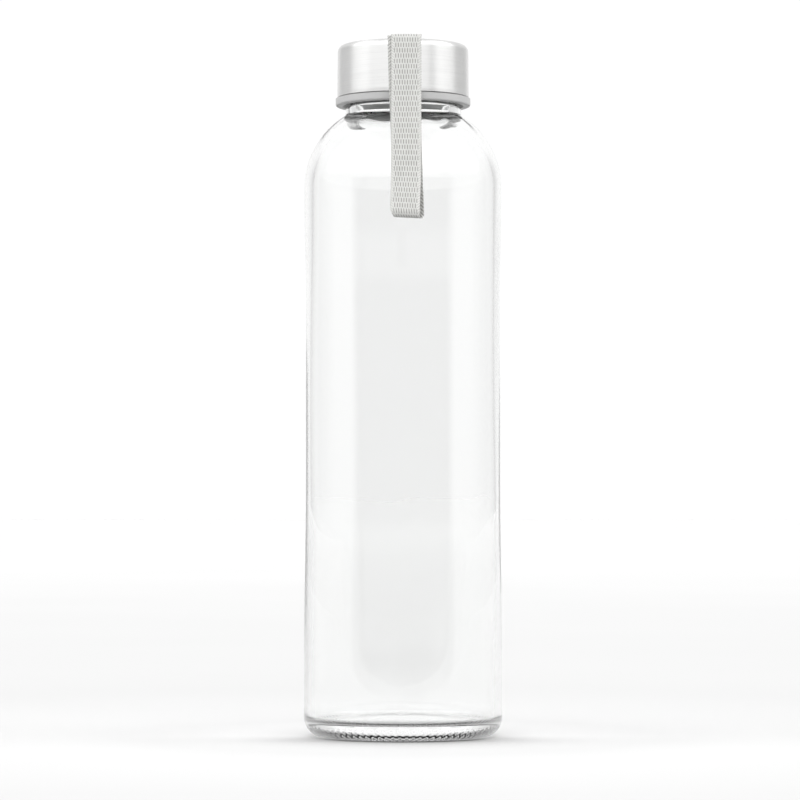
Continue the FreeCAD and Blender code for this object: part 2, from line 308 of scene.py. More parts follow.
def glass_inside():
    """The bore, the shoulder, the wall and the floor, from the lip down to the middle."""
    centre = (BELT_RADIUS - SHOULDER_RADIUS, SHOULDER_START)
    radius = SHOULDER_RADIUS - WALL
    reach = BORE_RADIUS + BORE_ROUND - centre[0]
    top = math.degrees(math.acos(reach / (radius + BORE_ROUND)))
    rise = math.sqrt((radius + BORE_ROUND) ** 2 - reach ** 2)
    fillet = (BORE_RADIUS + BORE_ROUND, SHOULDER_START + rise)
    points = line((BORE_RADIUS, GLASS_HIGH.z - LIP_ROUND), (BORE_RADIUS, fillet[1]), 12)
    points += arc(fillet, BORE_ROUND, 180, 180 + top, 6)
    points += arc(centre, radius, top, 0, 30)[1:]
    wall = BELT_RADIUS - WALL
    corner = (wall - FLOOR_CORNER, FLOOR_EDGE + FLOOR_CORNER)
    points += line((wall, SHOULDER_START), (wall, corner[1]), 60)
    tilt = math.degrees(math.atan2(2 * FLOOR_CROWN, wall))
    points += arc(corner, FLOOR_CORNER, 0, -90 - tilt, 14)
    edge_radius, edge_height = points[-1]
    for share in np.linspace(0, 1, 18)[1:]:
        at = edge_radius * (1 - share) + GLASS_AXIS_GAP * share
        drop = (at / edge_radius) ** 2
        crown = FLOOR_EDGE + FLOOR_CROWN
        points.append((at, crown + (edge_height - crown) * drop))
    return points


def thread_ridge(turn, height):
    """How far the screw thread stands out at an angle (in turns, 0 to 1) and a height."""
    ridge = np.zeros(np.broadcast(turn, height).shape)
    for lap in range(2):
        along = turn + lap
        middle = THREAD_START + THREAD_ROOT / 2 + LEAD * along
        flank = 1 - smooth(THREAD_CREST / 2, THREAD_ROOT / 2, np.abs(height - middle))
        ends = smooth(0, THREAD_RUN_OUT, along) * smooth(0, THREAD_RUN_OUT, THREAD_TURNS - along)
        ridge = np.maximum(ridge, THREAD_HEIGHT * flank * ends)
    return ridge


def blown_waves(turn, height):
    """The slight unevenness of a blown wall's inside."""
    angle = TURN * turn
    slow = 0.05 * np.sin(2 * angle + 0.7) + 0.03 * np.sin(3 * angle + 21 * height + 2.1)
    quick = 0.025 * np.sin(7 * angle + 35 * height) + 0.012 * np.sin(13 * angle - 50 * height + 1)
    neck = smooth(SHOULDER_START + 8 * MM, SHOULDER_START + 20 * MM, height)
    folds = 0.05 * np.sin(11 * angle + 1.3) + 0.03 * np.sin(19 * angle + 120 * height)
    return MM * (slow + quick + neck * folds)


def neck_wobble(turn, phase):
    """How far the hot-formed neck wanders off true."""
    angle = TURN * turn
    slow = 0.07 * np.sin(3 * angle + 1 + phase) + 0.05 * np.sin(5 * angle + 2.5 * phase)
    quick = 0.030 * np.sin(11 * angle + 0.4 + phase) + 0.018 * np.sin(23 * angle - phase)
    return MM * (slow + quick)


def glass_ring(turn, radius, height, fine, inside):
    """A ring of the bottle's points, with the bars, waves, wobble or thread that belong there."""
    radii = np.full(len(turn), radius)
    heights = np.full(len(turn), height)
    if fine:
        heights = heights + bar_gap(turn, radius)
    if inside:
        edge = smooth(*WAVE_EDGE, radius)
        mouth = 1 - smooth(BEAD_TOP, BEAD_TOP + WAVE_RUN_OUT, height)
        radii = radii + blown_waves(turn, height) * edge * mouth
    elif height < BEAD_TOP + BEAD_ROUND / 2:
        near_neck = smooth(*NECK_WOBBLE_EDGE, height)
        radii = radii + neck_wobble(turn, 0) * near_neck
        heights = heights + neck_wobble(turn, 2) * near_neck
    elif BEAD_TOP < height < GLASS_HIGH.z - LIP_ROUND:
        radii = radii + thread_ridge(turn, height)
    return np.stack([radii * np.cos(TURN * turn), radii * np.sin(TURN * turn), heights], 1)


def glass_faces(counts):
    """Faces between the bottle's rings, given each ring's number of points, and its two caps."""
    starts = [sum(counts[:number]) for number in range(len(counts))]
    faces = []
    for here, there, count, next_count in zip(starts, starts[1:], counts, counts[1:]):
        if count == next_count:
            faces += ring_faces(here, there, count)
        elif count < next_count:
            faces += zip_faces(here, there, SEGMENTS, FINE_RATIO, True)
        else:
            faces += zip_faces(there, here, SEGMENTS, FINE_RATIO, False)
    faces.append(list(range(starts[0] + SEGMENTS - 1, starts[0] - 1, -1)))
    faces.append(list(range(starts[-1], starts[-1] + SEGMENTS)))
    return faces


def turned_glass():
    """The bottle's points and faces: one closed skin, finer where the stand ring has its bars."""
    base = glass_base()
    heel = glass_heel()
    outer = base + heel + glass_outside() + glass_finish()
    first_fine = len(base) - 2
    last_fine = len(base) + len(heel) - 8
    points, counts = [], []
    for number, (radius, height) in enumerate(outer + glass_inside()):
        fine = first_fine <= number <= last_fine
        count = SEGMENTS * FINE_RATIO if fine else SEGMENTS
        turn = np.arange(count) / count
        counts.append(count)
        points.append(glass_ring(turn, radius, height, fine, number >= len(outer)))
    return np.concatenate(points), glass_faces(counts)


def bar_gap(turn, radius):
    """How far the stand ring is raised between its bars, which the bottle rests on."""
    wave = (1 - np.cos(TURN * BAR_COUNT * turn)) / 2
    band = smooth(BAR_INNER - 0.8 * MM, BAR_INNER, radius)
    band *= 1 - smooth(BAR_OUTER, BAR_OUTER + 1.2 * MM, radius)
    return BAR_HEIGHT * smooth(0.15, 0.75, wave) * band


def clear_glass():
    """Water-white soda-lime glass. The faint unevenness is in the mesh."""
    material, tree, shader = new_material("clear_glass")
    shader.inputs["Base Color"].default_value = (0.995, 0.998, 0.996, 1)
    shader.inputs["Roughness"].default_value = 0.0
    shader.inputs["IOR"].default_value = 1.5
    shader.inputs["Transmission Weight"].default_value = 1.0
    point = object_point(tree)
    height = noise(tree, point, 60.0, 3.0)
    feed(tree, shader.inputs["Normal"], bump(tree, height, 0.02, 0.2 * MM))
    return material


def make_glass():
    points, faces = turned_glass()
    piece = new_piece("blown_glass_bottle", points, faces, clear_glass(), "bottle")
    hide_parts("glass_bottle")
    return piece


# ---------------------------------------------------------------- lid

LID_SEGMENTS = 256
SHELL_SHEET = 0.5 * MM
SHELL_ROUND = 2.2 * MM
SHELL_TAPER = 0.15 * MM
SHELL_DISH = 0.12 * MM
SHELL_EDGE = 0.12 * MM
SHELL_LIFT = 0.13 * MM
SHELL_AXIS_GAP = 0.2 * MM


def shell_outline():
    """The drawn cup's section, from the middle of the top out, down, round the edge and back."""
    top, bottom = SHELL_HIGH.z, SHELL_LOW.z + SHELL_LIFT
    low_radius = SHELL_HIGH.x
    high_radius = low_radius - SHELL_TAPER
    rim = high_radius - SHELL_ROUND
    outside = [(SHELL_AXIS_GAP, top)]
    outside += [(rim * s, top - SHELL_DISH * s ** 4) for s in np.linspace(0, 1, 16)[1:-1]]
    rolled = arc((rim, top - SHELL_DISH - SHELL_ROUND), SHELL_ROUND, 90, 0, 14)
    wall = line(rolled[-1], (low_radius, bottom + SHELL_EDGE), 10)
    edge = arc((low_radius - SHELL_EDGE, bottom + SHELL_EDGE), SHELL_EDGE, 0, -90, 4)
    edge += arc((low_radius - SHELL_SHEET + SHELL_EDGE, bottom + SHELL_EDGE), SHELL_EDGE, -90, -180, 4)
    inner_round = SHELL_ROUND - SHELL_SHEET
    inner_top = top - SHELL_DISH - SHELL_SHEET
    inside = arc((rim, inner_top - inner_round), inner_round, 0, 90, 8)
    inside.append((SHELL_AXIS_GAP, top - SHELL_SHEET))
    return outside + rolled + wall + edge + inside


def turned(outline, segments):
    """Points and faces of an outline that starts and ends by the axis, closed by two small caps."""
    turn = np.arange(segments) * TURN / segments
    rings = [np.stack([r * np.cos(turn), r * np.sin(turn), np.full(segments, z)], 1) for r, z in outline]
    return np.concatenate(rings), flipped(tube_faces(0, len(outline), segments))


def brush_lines(tree):
    """Fine lines that run round the lid: noise that is long round the axis and thin across."""
    point = object_point(tree)
    axes = add_node(tree, "ShaderNodeSeparateXYZ", Vector=point).outputs
    radius = maths(tree, "SQRT", maths(tree, "ADD", maths(tree, "MULTIPLY", axes["X"], axes["X"]),
                                       maths(tree, "MULTIPLY", axes["Y"], axes["Y"])))
    across = maths(tree, "ADD", axes["Z"], radius)
    vector = add_node(tree, "ShaderNodeCombineXYZ", X=axes["X"], Y=axes["Y"],
                      Z=maths(tree, "MULTIPLY", across, 90.0)).outputs["Vector"]
    return noise(tree, vector, 110.0, 4.0, 0.65), noise(tree, vector, 28.0, 3.0, 0.6), point


def brushed_steel():
    material, tree, shader = new_material("brushed_steel")
    fine, broad, point = brush_lines(tree)
    streaks = maths(tree, "ADD", maths(tree, "MULTIPLY", fine, 0.6), maths(tree, "MULTIPLY", broad, 0.4))
    cloud = noise(tree, point, 45.0, 3.0)
    tone = maths(tree, "ADD", maths(tree, "MULTIPLY", streaks, 0.8), maths(tree, "MULTIPLY", cloud, 0.2))
    colour = two_tone(tree, tone, (0.63, 0.63, 0.625), (0.75, 0.75, 0.745))
    feed(tree, shader.inputs["Base Color"], colour)
    feed(tree, shader.inputs["Roughness"], remap(tree, streaks, 0.3, 0.7, 0.27, 0.40))
    feed(tree, shader.inputs["Normal"], bump(tree, fine, 0.12, 0.03 * MM))
    tangent = add_node(tree, "ShaderNodeTangent", {"direction_type": "RADIAL", "axis": "Z"})
    feed(tree, shader.inputs["Tangent"], tangent.outputs[0])
    shader.inputs["Metallic"].default_value = 1.0
    shader.inputs["Anisotropic"].default_value = 0.85
    shader.inputs["Anisotropic Rotation"].default_value = 0.25
    return material


def make_shell():
    points, faces = turned(shell_outline(), LID_SEGMENTS)
    piece = new_piece("brushed_lid_shell", points, faces, brushed_steel(), "lid")
    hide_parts("lid_shell")
    return piece


def grey_plastic():
    """Moulded polypropylene, with a fine spark-eroded grain and faint flow marks."""
    material, tree, shader = new_material("grey_moulded_plastic")
    point = object_point(tree)
    grain = noise(tree, point, 2600.0, 2.0)
    flow = noise(tree, point, 60.0, 3.0)
    colour = two_tone(tree, flow, (0.39, 0.39, 0.39), (0.44, 0.44, 0.438))
    feed(tree, shader.inputs["Base Color"], colour)
    feed(tree, shader.inputs["Roughness"], remap(tree, grain, 0.3, 0.7, 0.38, 0.52))
    feed(tree, shader.inputs["Normal"], bump(tree, grain, 0.15, 0.02 * MM))
    return material


def silicone():
    material, tree, shader = new_material("seal_silicone")
    point = object_point(tree)
    mottle = noise(tree, point, 300.0, 3.0)
    feed(tree, shader.inputs["Base Color"], two_tone(tree, mottle, (0.70, 0.70, 0.68), (0.78, 0.78, 0.76)))
    feed(tree, shader.inputs["Roughness"], remap(tree, mottle, 0.3, 0.7, 0.45, 0.6))
    feed(tree, shader.inputs["Normal"], bump(tree, mottle, 0.1, 0.05 * MM))
    shader.inputs["Subsurface Weight"].default_value = 0.2
    shader.inputs["Subsurface Scale"].default_value = 0.5 * MM
    return material


def dress_nodes():
    """The CAD nodes that show as they are get their own materials."""
    finishes = {
        "lid_liner": (grey_plastic(), "grey_plastic"),
        "seal_gasket": (silicone(), "silicone"),
    }
    for name, (material, slot) in finishes.items():
        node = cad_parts[name]
        node.data.materials.clear()
        node.data.materials.append(material)


# ---------------------------------------------------------------- webbing

STRAP_THICKNESS = 0.9 * MM
STRAP_SLOPE = 15.0
STRAP_FOLD = 1.8 * MM
STRAP_BENDS = (2.0 * MM, 1.6 * MM)
STRAP_LOOP_ROOT = SHELL_LOW.z - 0.95 * MM

RIBBON_WIDTH = 9.5 * MM
RIBBON_HALF = 0.225 * MM
LAYER_GAP = 0.47 * MM
FOLD_OPENING = 14.0 * MM
FRONT_SHIFT = 1.0 * MM
BACK_LAYER_TOP = -1.1 * MM
BACK_LAYER_LOW = 0.6 * MM
TWIST = 13.0
TWIST_RUN = 32.0 * MM
SKEW = 0.13

COLUMN = 0.84 * MM
ROW = 1.85 * MM
SLOT_DEPTH = 0.18 * MM
RIB_DEPTH = 0.17 * MM
RIB_PITCH = 1.25 * MM
RIB_SLANT = 0.9
UNDER_STEP = 0.22 * MM
FOLD_NARROWING = 0.4 * MM
SELVEDGE = 0.8 * MM
FINE_STEP = 0.21 * MM
ACROSS = 82
ROUND_EDGE = 0.10 * MM
EDGE_SCALLOP = 0.11 * MM
FOLD_STEPS = 27

TAIL_MOUTH = 21.72 * MM
TAIL_MIDDLE = 20.41 * MM
TAIL_LEVEL = TAIL_LOW.z + 0.46 * MM
TAIL_BEND = 0.5 * MM
TAIL_HALF_ANGLE = 13.3
TAIL_ACROSS = 84
TAIL_INNER_TONE = 0.6

STITCH_COUNT = 7
STITCH_PITCH = 3.4
STITCH_HALF = 0.14 * MM
STITCH_RISE = 0.09 * MM
STITCH_SEAT = 20.85 * MM


def bent_path(knees, radii):
    """Straight runs and tangent arcs through the knees, as (length, function of the share along)."""
    runs = []
    start = np.array(knees[0])
    for before, knee, after, radius in zip(knees, knees[1:], knees[2:], radii):
        knee = np.array(knee)
        inward = np.array(before) - knee
        outward = np.array(after) - knee
        inward /= np.linalg.norm(inward)
        outward /= np.linalg.norm(outward)
        half = (math.pi - math.acos(inward @ outward)) / 2
        first = knee + inward * radius * math.tan(half)
        last = knee + outward * radius * math.tan(half)
        middle = knee + (inward + outward) / np.linalg.norm(inward + outward) * radius / math.cos(half)
        runs.append(straight(start, first))
        runs.append(bend(middle, first, last, 2 * half))
        start = last
    runs.append(straight(start, np.array(knees[-1])))
    return runs


def straight(first, last):
    length = np.linalg.norm(last - first)
    way = (last - first) / length
    return length, lambda at: (first + way * at, way)


def bend(middle, first, last, turn):
    arm = first - middle
    radius = np.linalg.norm(arm)
    sign = math.copysign(1, arm[0] * (last - middle)[1] - arm[1] * (last - middle)[0])

    def point(at):
        angle = sign * at / radius
        spun = np.array([arm[0] * math.cos(angle) - arm[1] * math.sin(angle),
                         arm[0] * math.sin(angle) + arm[1] * math.cos(angle)])
        return middle + spun, np.array([-spun[1], spun[0]]) * sign / radius
    return radius * turn, point


def on_path(runs, at):
    """The (y, z) point and direction at a length along the path. Past the end it goes straight on."""
    for number, (length, point) in enumerate(runs):
        if at <= length or number == len(runs) - 1:
            return point(at)
        at -= length


def strap_knees():
    """The middle of the two layers: up behind the lid, across it and down in front."""
    half = STRAP_THICKNESS / 2
    back = STRAP_HIGH.y - half
    top = STRAP_HIGH.z - half
    end = (STRAP_LOW.y + STRAP_FOLD, STRAP_LOW.z + STRAP_FOLD)
    corner = end[0] + (top - end[1]) * math.tan(math.radians(STRAP_SLOPE))
    return [(back, STRAP_LOOP_ROOT), (back, top), (corner, top), end]


def weave(across, along, half_width):
    """The height of the weave, 0 in the slots to 1 on the yarns, at places on the ribbon.

    Long slots lie in rows, and each row is shifted by half a slot from the last, like bricks.
    """
    row = along / ROW
    shift = np.mod(np.floor(row), 2) * 0.5
    column = np.mod(across / COLUMN + shift, 1) - 0.5
    place = np.mod(row, 1) - 0.5
    slot = np.exp(-(column / 0.17) ** 2) * (1 - smooth(0.36, 0.49, np.abs(place)))
    crown = 0.12 * np.cos(2 * np.pi * (across / COLUMN + shift)) * (np.abs(place) < 0.5)
    edge = smooth(half_width - SELVEDGE - 0.25 * MM, half_width - SELVEDGE + 0.1 * MM, np.abs(across))
    ribs = 0.30 + 0.25 * np.cos(4 * np.pi * row + 6 * np.abs(across) / MM)
    body = 0.88 - 0.88 * slot - crown * (1 - slot)
    return np.clip(body * (1 - edge) + (0.45 + ribs) * edge, 0, 1)


def edge_ribs(across, along):
    """The slanted ribs of the ribbon's plain inner face, 0 in the grooves to 1 on the ribs."""
    return 0.55 + 0.45 * np.cos(TURN * (along + RIB_SLANT * np.abs(across)) / RIB_PITCH)


def ribbon_stations(length):
    """Places along the folded ribbon: (along the stack, off its middle, their direction, way walked)."""
    def opening(at):
        spare = STRAP_FOLD - RIBBON_HALF - LAYER_GAP / 2
        return LAYER_GAP / 2 + spare * smooth(0, 1, 1 - (length - at) / FOLD_OPENING)

    down = np.arange(0, length, FINE_STEP)
    radius = float(opening(length))
    round_fold = np.linspace(0, math.pi, FOLD_STEPS)[:-1]
    up = np.arange(length, 0, -2 * FINE_STEP)
    along = np.concatenate([down, length + radius * np.sin(round_fold), up])
    off = np.concatenate([opening(down), radius * np.cos(round_fold), -opening(up)])
    steps = np.hypot(np.diff(along), np.diff(off))
    walked = np.concatenate([[0], np.cumsum(steps)])
    way = np.stack([np.gradient(along, walked), np.gradient(off, walked)], 1)
    way /= np.linalg.norm(way, axis=1)[:, None]
    return along, off, way, walked


def ribbon_section():
    """Round the ribbon's section: (across, thickness side) pairs, the woven face first."""
    half = RIBBON_WIDTH / 2
    face = [(u, 1.0) for u in np.linspace(-half, half, ACROSS + 1)]
    right = [(half + ROUND_EDGE, 0.4), (half + ROUND_EDGE, -0.4)]
    near_edge = [half - step * UNDER_STEP for step in range(8)]
    under = [(u, -1.0) for u in near_edge + [half / 3, -half / 3] + [-u for u in reversed(near_edge)]]
    left = [(-half - ROUND_EDGE, -0.4), (-half - ROUND_EDGE, 0.4)]
    return np.array(face + right + under + left)


def loop_ring(runs, length, fold, section, station):
    """The points round the ribbon at a station, and each one's place and height in the weave."""
    s, v, (ds, dv), t = station
    half = RIBBON_WIDTH / 2
    across = section[:, 0].copy()
    side = section[:, 1]
    walked = np.full(len(across), t)
    woven = side == 1.0
    ribs = edge_ribs(across, t)
    height = np.where(woven, weave(across, walked, half), ribs)
    lift = RIBBON_HALF * side - np.where(woven, SLOT_DEPTH * (1 - height), 0)
    lift += np.where(side == -1.0, RIB_DEPTH * (1 - ribs), 0)
    rim = np.sign(across) * (np.abs(across) > half) * EDGE_SCALLOP
    across = across + rim * math.cos(2 * TURN * t / ROW)
    fold_share = float(smooth(length - 0.4 * MM, length + STRAP_FOLD, s))
    across = across - FOLD_NARROWING * fold_share * (across / half) ** 5
    across = across + ribbon_shift(s, length, float(smooth(fold - MM, fold + 5 * MM, t)))
    lower = float(smooth(length - TWIST_RUN, length, s))
    place = s - lift * dv + SKEW * across * lower
    shift = place - s
    out = v + lift * ds
    twist = math.radians(TWIST) * lower
    wide = across * math.cos(twist) - out * math.sin(twist)
    deep = across * math.sin(twist) + out * math.cos(twist)
    (y, z), (ty, tz) = on_path(runs, s)
    ring = np.stack([wide, y + deep * tz + shift * ty, z - deep * ty + shift * tz], 1)
    return ring, np.stack([across, walked, height], 1)


def make_strap_loop():
    runs = bent_path(strap_knees(), STRAP_BENDS)
    length = sum(run[0] for run in runs)
    section = ribbon_section()
    along, off, way, walked = ribbon_stations(length)
    fold = walked[len(np.arange(0, length, FINE_STEP))]
    points, weaves = [], []
    for station in zip(along, off, way, walked):
        ring, seen = loop_ring(runs, length, fold, section, station)
        points.append(ring)
        weaves.append(seen)
    faces = tube_faces(0, len(points), len(section))
    piece = new_piece("webbing_loop", np.concatenate(points), faces, webbing(), "strap")
    store_weave(piece, np.concatenate(weaves))
    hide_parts("strap_loop")
    return piece


def ribbon_shift(at, length, inner):
    """How far to the right the ribbon lies: the front hangs off the middle, the layers cross."""
    front = smooth(20 * MM, 60 * MM, at)
    shift = FRONT_SHIFT * front
    down = smooth(length - 62 * MM, length, at)
    spread = BACK_LAYER_TOP + (BACK_LAYER_LOW - BACK_LAYER_TOP) * down
    return float(shift + spread * front * inner)


def make_strap_tail():
    """The webbing's two sewn ends: in under the shell's edge and up against the liner, as an arc."""
    knees = [(TAIL_MOUTH, TAIL_LEVEL), (TAIL_MIDDLE, TAIL_LEVEL), (TAIL_MIDDLE, TAIL_HIGH.z)]
    runs = bent_path(knees, (TAIL_BEND,))
    length = sum(run[0] for run in runs)
    half = RIBBON_WIDTH / 2
    share = np.linspace(-1, 1, TAIL_ACROSS + 1)
    angle = np.radians(TAIL_HALF_ANGLE) * share
    stations = np.linspace(0, length, int(length / FINE_STEP) + 1)
    points, weaves, faces = [], [], []
    for layer in (1, -1):
        first = len(points) * 2 * len(share)
        for s in stations:
            (r, z), (tr, tz) = on_path(runs, s)
            height = weave(half * share, np.full(len(share), s), half)
            outer = layer * (LAYER_GAP / 2 + RIBBON_HALF - SLOT_DEPTH * (1 - height))
            inner = layer * (LAYER_GAP / 2 - RIBBON_HALF)
            rings = []
            for lift in (outer, np.full(len(share), inner)):
                radius = r + lift * tz
                rings.append(np.stack([radius * np.sin(angle), radius * np.cos(angle), z - lift * tr], 1))
            points.append(np.concatenate([rings[0], rings[1][::-1]]))
            seen = np.concatenate([height, np.full(len(share), TAIL_INNER_TONE)])
            place = np.concatenate([half * share, half * share[::-1]])
            weaves.append(np.stack([place, np.full(len(place), s), seen], 1))
        found = tube_faces(first, len(stations), 2 * len(share))
        faces += flipped(found) if layer == -1 else found
    piece = new_piece("webbing_tail", np.concatenate(points), faces, webbing(), "lid")
    store_weave(piece, np.concatenate(weaves))
    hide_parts("strap_tail")
    return piece


def sewing_thread():
    """Twisted polyester thread: fine slanted plies, with painted shade that makes them lighter on their
    crowns and darker between them.
    """
    material, tree, shader = new_material("sewing_thread")
    axes = add_node(tree, "ShaderNodeSeparateXYZ", Vector=object_point(tree)).outputs
    slant = maths(tree, "ADD", maths(tree, "MULTIPLY", axes["Z"], 22000.0),
                  maths(tree, "MULTIPLY", axes["X"], 15000.0))
    plies = maths(tree, "SINE", slant)
    # Painted shade: the colour follows the plies' bump and is darker in the grooves between them.
    colour = two_tone(tree, plies, (0.42, 0.42, 0.41), (0.60, 0.60, 0.585), 0.1, 0.9)
    feed(tree, shader.inputs["Base Color"], colour)
    feed(tree, shader.inputs["Roughness"], remap(tree, plies, -1.0, 1.0, 0.7, 0.55))
    feed(tree, shader.inputs["Normal"], bump(tree, plies, 0.4, 0.03 * MM))
    shader.inputs["Sheen Weight"].default_value = 0.1
    return material


def make_stitching():
    """The upright stitches: each a rounded bar of thread that dives into the webbing at its ends."""
    points, faces = [], []
    around = np.linspace(0, TURN, 12, endpoint=False)
    along = np.linspace(0, 1, 17)
    for number in range(STITCH_COUNT):
        spin = math.radians((number - (STITCH_COUNT - 1) / 2) * STITCH_PITCH)
        start = number * len(around) * len(along)
        for share in along:
            swell = math.sqrt(max(1 - abs(2 * share - 1) ** 6, 0.02))
            wide = STITCH_HALF * swell * np.cos(around)
            deep = STITCH_SEAT + STITCH_RISE * swell * np.sin(around)
            z = STITCH_LOW.z + (STITCH_HIGH.z - STITCH_LOW.z) * share
            x = deep * math.sin(spin) + wide * math.cos(spin)
            y = deep * math.cos(spin) - wide * math.sin(spin)
            points.append(np.stack([x, y, np.full(len(around), z)], 1))
        faces += tube_faces(start, len(along), len(around))
    points = np.concatenate(points)
    piece = new_piece("bar_tack_stitches", points, flipped(faces), sewing_thread(), "lid")
    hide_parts("strap_stitching")
    return piece


def store_weave(piece, values):
    """Keeps each point's place on the ribbon and its height in the weave for the material, which also uses
    the height for painted shade in the slots.
    """
    kept = piece.data.attributes.new("weave", "FLOAT_VECTOR", "POINT")
    kept.data.foreach_set("vector", values.astype(np.float32).ravel())


def webbing():
    """Woven polyester with fine threads along the yarns. Its colour is lighter on the yarns and darker in
    the slots and rib grooves, which is painted shade.
    """
    material, tree, shader = new_material("grey_webbing")
    weave_at = add_node(tree, "ShaderNodeAttribute", {"attribute_name": "weave"}).outputs["Vector"]
    parts = add_node(tree, "ShaderNodeSeparateXYZ", Vector=weave_at).outputs
    stretched = add_node(tree, "ShaderNodeCombineXYZ", X=maths(tree, "MULTIPLY", parts["X"], 9000.0),
                         Y=maths(tree, "MULTIPLY", parts["Y"], 1100.0)).outputs["Vector"]
    threads = noise(tree, stretched, 1.0, 3.0, 0.6)
    blotch = noise(tree, object_point(tree), 400.0, 3.0)
    # Painted shade: the weave's height darkens the colour in the slots and the grooves of the ribs.
    tone = maths(tree, "MULTIPLY", parts["Z"], remap(tree, threads, 0.25, 0.75, 0.86, 1.08))
    tone = maths(tree, "MULTIPLY", tone, remap(tree, blotch, 0.3, 0.7, 0.94, 1.04))
    colour = two_tone(tree, tone, (0.16, 0.16, 0.15), (0.56, 0.56, 0.545), 0.05, 0.92)
    feed(tree, shader.inputs["Base Color"], colour)
    feed(tree, shader.inputs["Roughness"], remap(tree, threads, 0.3, 0.7, 0.62, 0.82))
    feed(tree, shader.inputs["Normal"], bump(tree, threads, 0.5, 0.04 * MM))
    shader.inputs["Sheen Weight"].default_value = 0.15
    shader.inputs["Sheen Roughness"].default_value = 0.4
    shader.inputs["Specular IOR Level"].default_value = 0.35
    return material


# ---------------------------------------------------------------- stage, light and camera

FLOOR_SIDE = 2.5
FLOOR_FRONT = 0.25
FLOOR_BACK = 12.0
# Painted shadow on the floor's colour: ambient occlusion, weighted towards the floor in front of the
# bottle.
SHADOW_REACH = 0.09
SHADOW_SIDE = (0.0, 0.96, 0.28)
SHADOW_DEPTH = 0.08
SHADOW_OPENNESS = (0.30, 1.0)
SHADOW_FRONT = (-30 * MM, 2 * MM)
SHADOW_AT_SIDE = 0.1
# Painted light: the floor glows by emission, by distance from the axis, in place of the light that the
# glass lets by.
WIDE_GLOW_EDGE = (60 * MM, 300 * MM)
WIDE_GLOW = 0.10
NEAR_GLOW_EDGE = (34 * MM, 90 * MM)
NEAR_GLOW = 0.14
FAR_GLOW_EDGE = (0.6, 3.0)
FAR_GLOW = 0.06
UNDER_GLOW_EDGE = (26 * MM, 30 * MM)
UNDER_GLOW = 0.32
FRONT_CEILING = 3.0
BACK_CEILING = 1.05
SIDE_PANEL = 0.95
SIDE_PANEL_LOW = 0.7
BACK_SIDE = 0.72
ROOM_GAP = 0.08
ZENITH = 0.95
FLAG_TURN = 53.0
FLAG_LEVEL = 0.7
BACKDROP = 1.02
FRONT_EDGE = (101.0, 109.0)
BEHIND_EDGE = (140.0, 155.0)
PANEL_RISE = (-5.0, 6.0)
GROUND_EDGE = (-4.2, -2.2)
CEILING_EDGE = (10.0, 26.0)
ZENITH_EDGE = (48.0, 66.0)
GAP_SIDE_EDGE = (56.0, 68.0)
GAP_LOW_EDGE = (-3.8, -2.2)
GAP_HIGH_EDGE = (7.0, 10.0)
FLAG_EDGE = (2.0, 7.0)
CAMERA_DISTANCE = 1.136
CAMERA_HEIGHT = 0.0775
CAMERA_SIDE = -0.001
CAMERA_PITCH = 1.64
CAMERA_LENS = 155.6


def painted_contact_shadow(tree):
    """Painted shadow: 1 on the open floor, and darker where the bottle stands over the floor in front of
    it, by ambient occlusion and depth.
    """
    nearby = add_node(tree, "ShaderNodeAmbientOcclusion", {"samples": 8}, Distance=SHADOW_REACH,
                      Normal=SHADOW_SIDE, Color=(1, 1, 1, 1)).outputs["AO"]
    depth = add_node(tree, "ShaderNodeSeparateXYZ", Vector=object_point(tree)).outputs["Y"]
    shade = remap(tree, nearby, *SHADOW_OPENNESS, SHADOW_DEPTH, 1.0)
    forward = remap(tree, depth, *SHADOW_FRONT, 1.0, SHADOW_AT_SIDE)
    return add_node(tree, "ShaderNodeMix", Factor=forward, A=1.0, B=shade).outputs[0]


def painted_glass_light(tree, shade):
    """Painted light: an emission glow by distance from the axis that stands in for the light clear glass
    lets by to the floor, and a little more far off.
    """
    reach = add_node(tree, "ShaderNodeVectorMath", {"operation": "LENGTH"})
    feed(tree, reach.inputs[0], object_point(tree))
    reach = reach.outputs["Value"]
    passed = maths(tree, "ADD", remap(tree, reach, *WIDE_GLOW_EDGE, WIDE_GLOW, 0.0),
                   remap(tree, reach, *NEAR_GLOW_EDGE, NEAR_GLOW, 0.0))
    passed = maths(tree, "ADD", maths(tree, "MULTIPLY", passed, shade),
                   remap(tree, reach, *UNDER_GLOW_EDGE, UNDER_GLOW, 0.0))
    return maths(tree, "ADD", passed, remap(tree, reach, *FAR_GLOW_EDGE, 0.0, FAR_GLOW))


def pale_floor():
    """Matt floor, with a painted shadow in front of the bottle and a painted emission glow for the light
    that the glass lets by.
    """
    material, tree, shader = new_material("pale_floor")
    mottle = noise(tree, object_point(tree), 3.0, 2.0)
    tint = two_tone(tree, mottle, (0.564, 0.564, 0.564), (0.572, 0.572, 0.572))
    shade = painted_contact_shadow(tree)
    # Painted light and shade: the emission glow, and the painted shadow that darkens the base colour.
    shader.inputs["Emission Color"].default_value = (1, 1, 1, 1)
    feed(tree, shader.inputs["Emission Strength"], painted_glass_light(tree, shade))
    mixed = add_node(tree, "ShaderNodeMix", {"data_type": "RGBA", "blend_type": "MULTIPLY"})
    mixed.inputs[0].default_value = 1.0
    feed(tree, mixed.inputs[6], tint)
    feed(tree, mixed.inputs[7], shade)
    feed(tree, shader.inputs["Base Color"], mixed.outputs[2])
    shader.inputs["Roughness"].default_value = 0.9
    shader.inputs["Specular IOR Level"].default_value = 0.0
    return material


def make_floor():
    mesh = bpy.data.meshes.new("floor")
    corners = [(-FLOOR_SIDE, -FLOOR_FRONT, 0), (FLOOR_SIDE, -FLOOR_FRONT, 0),
               (FLOOR_SIDE, FLOOR_BACK, 0), (-FLOOR_SIDE, FLOOR_BACK, 0)]
    mesh.from_pydata(corners, [], [(0, 1, 2, 3)])
    mesh.materials.append(pale_floor())
    floor = bpy.data.objects.new("floor", mesh)
    bpy.context.scene.collection.objects.link(floor)


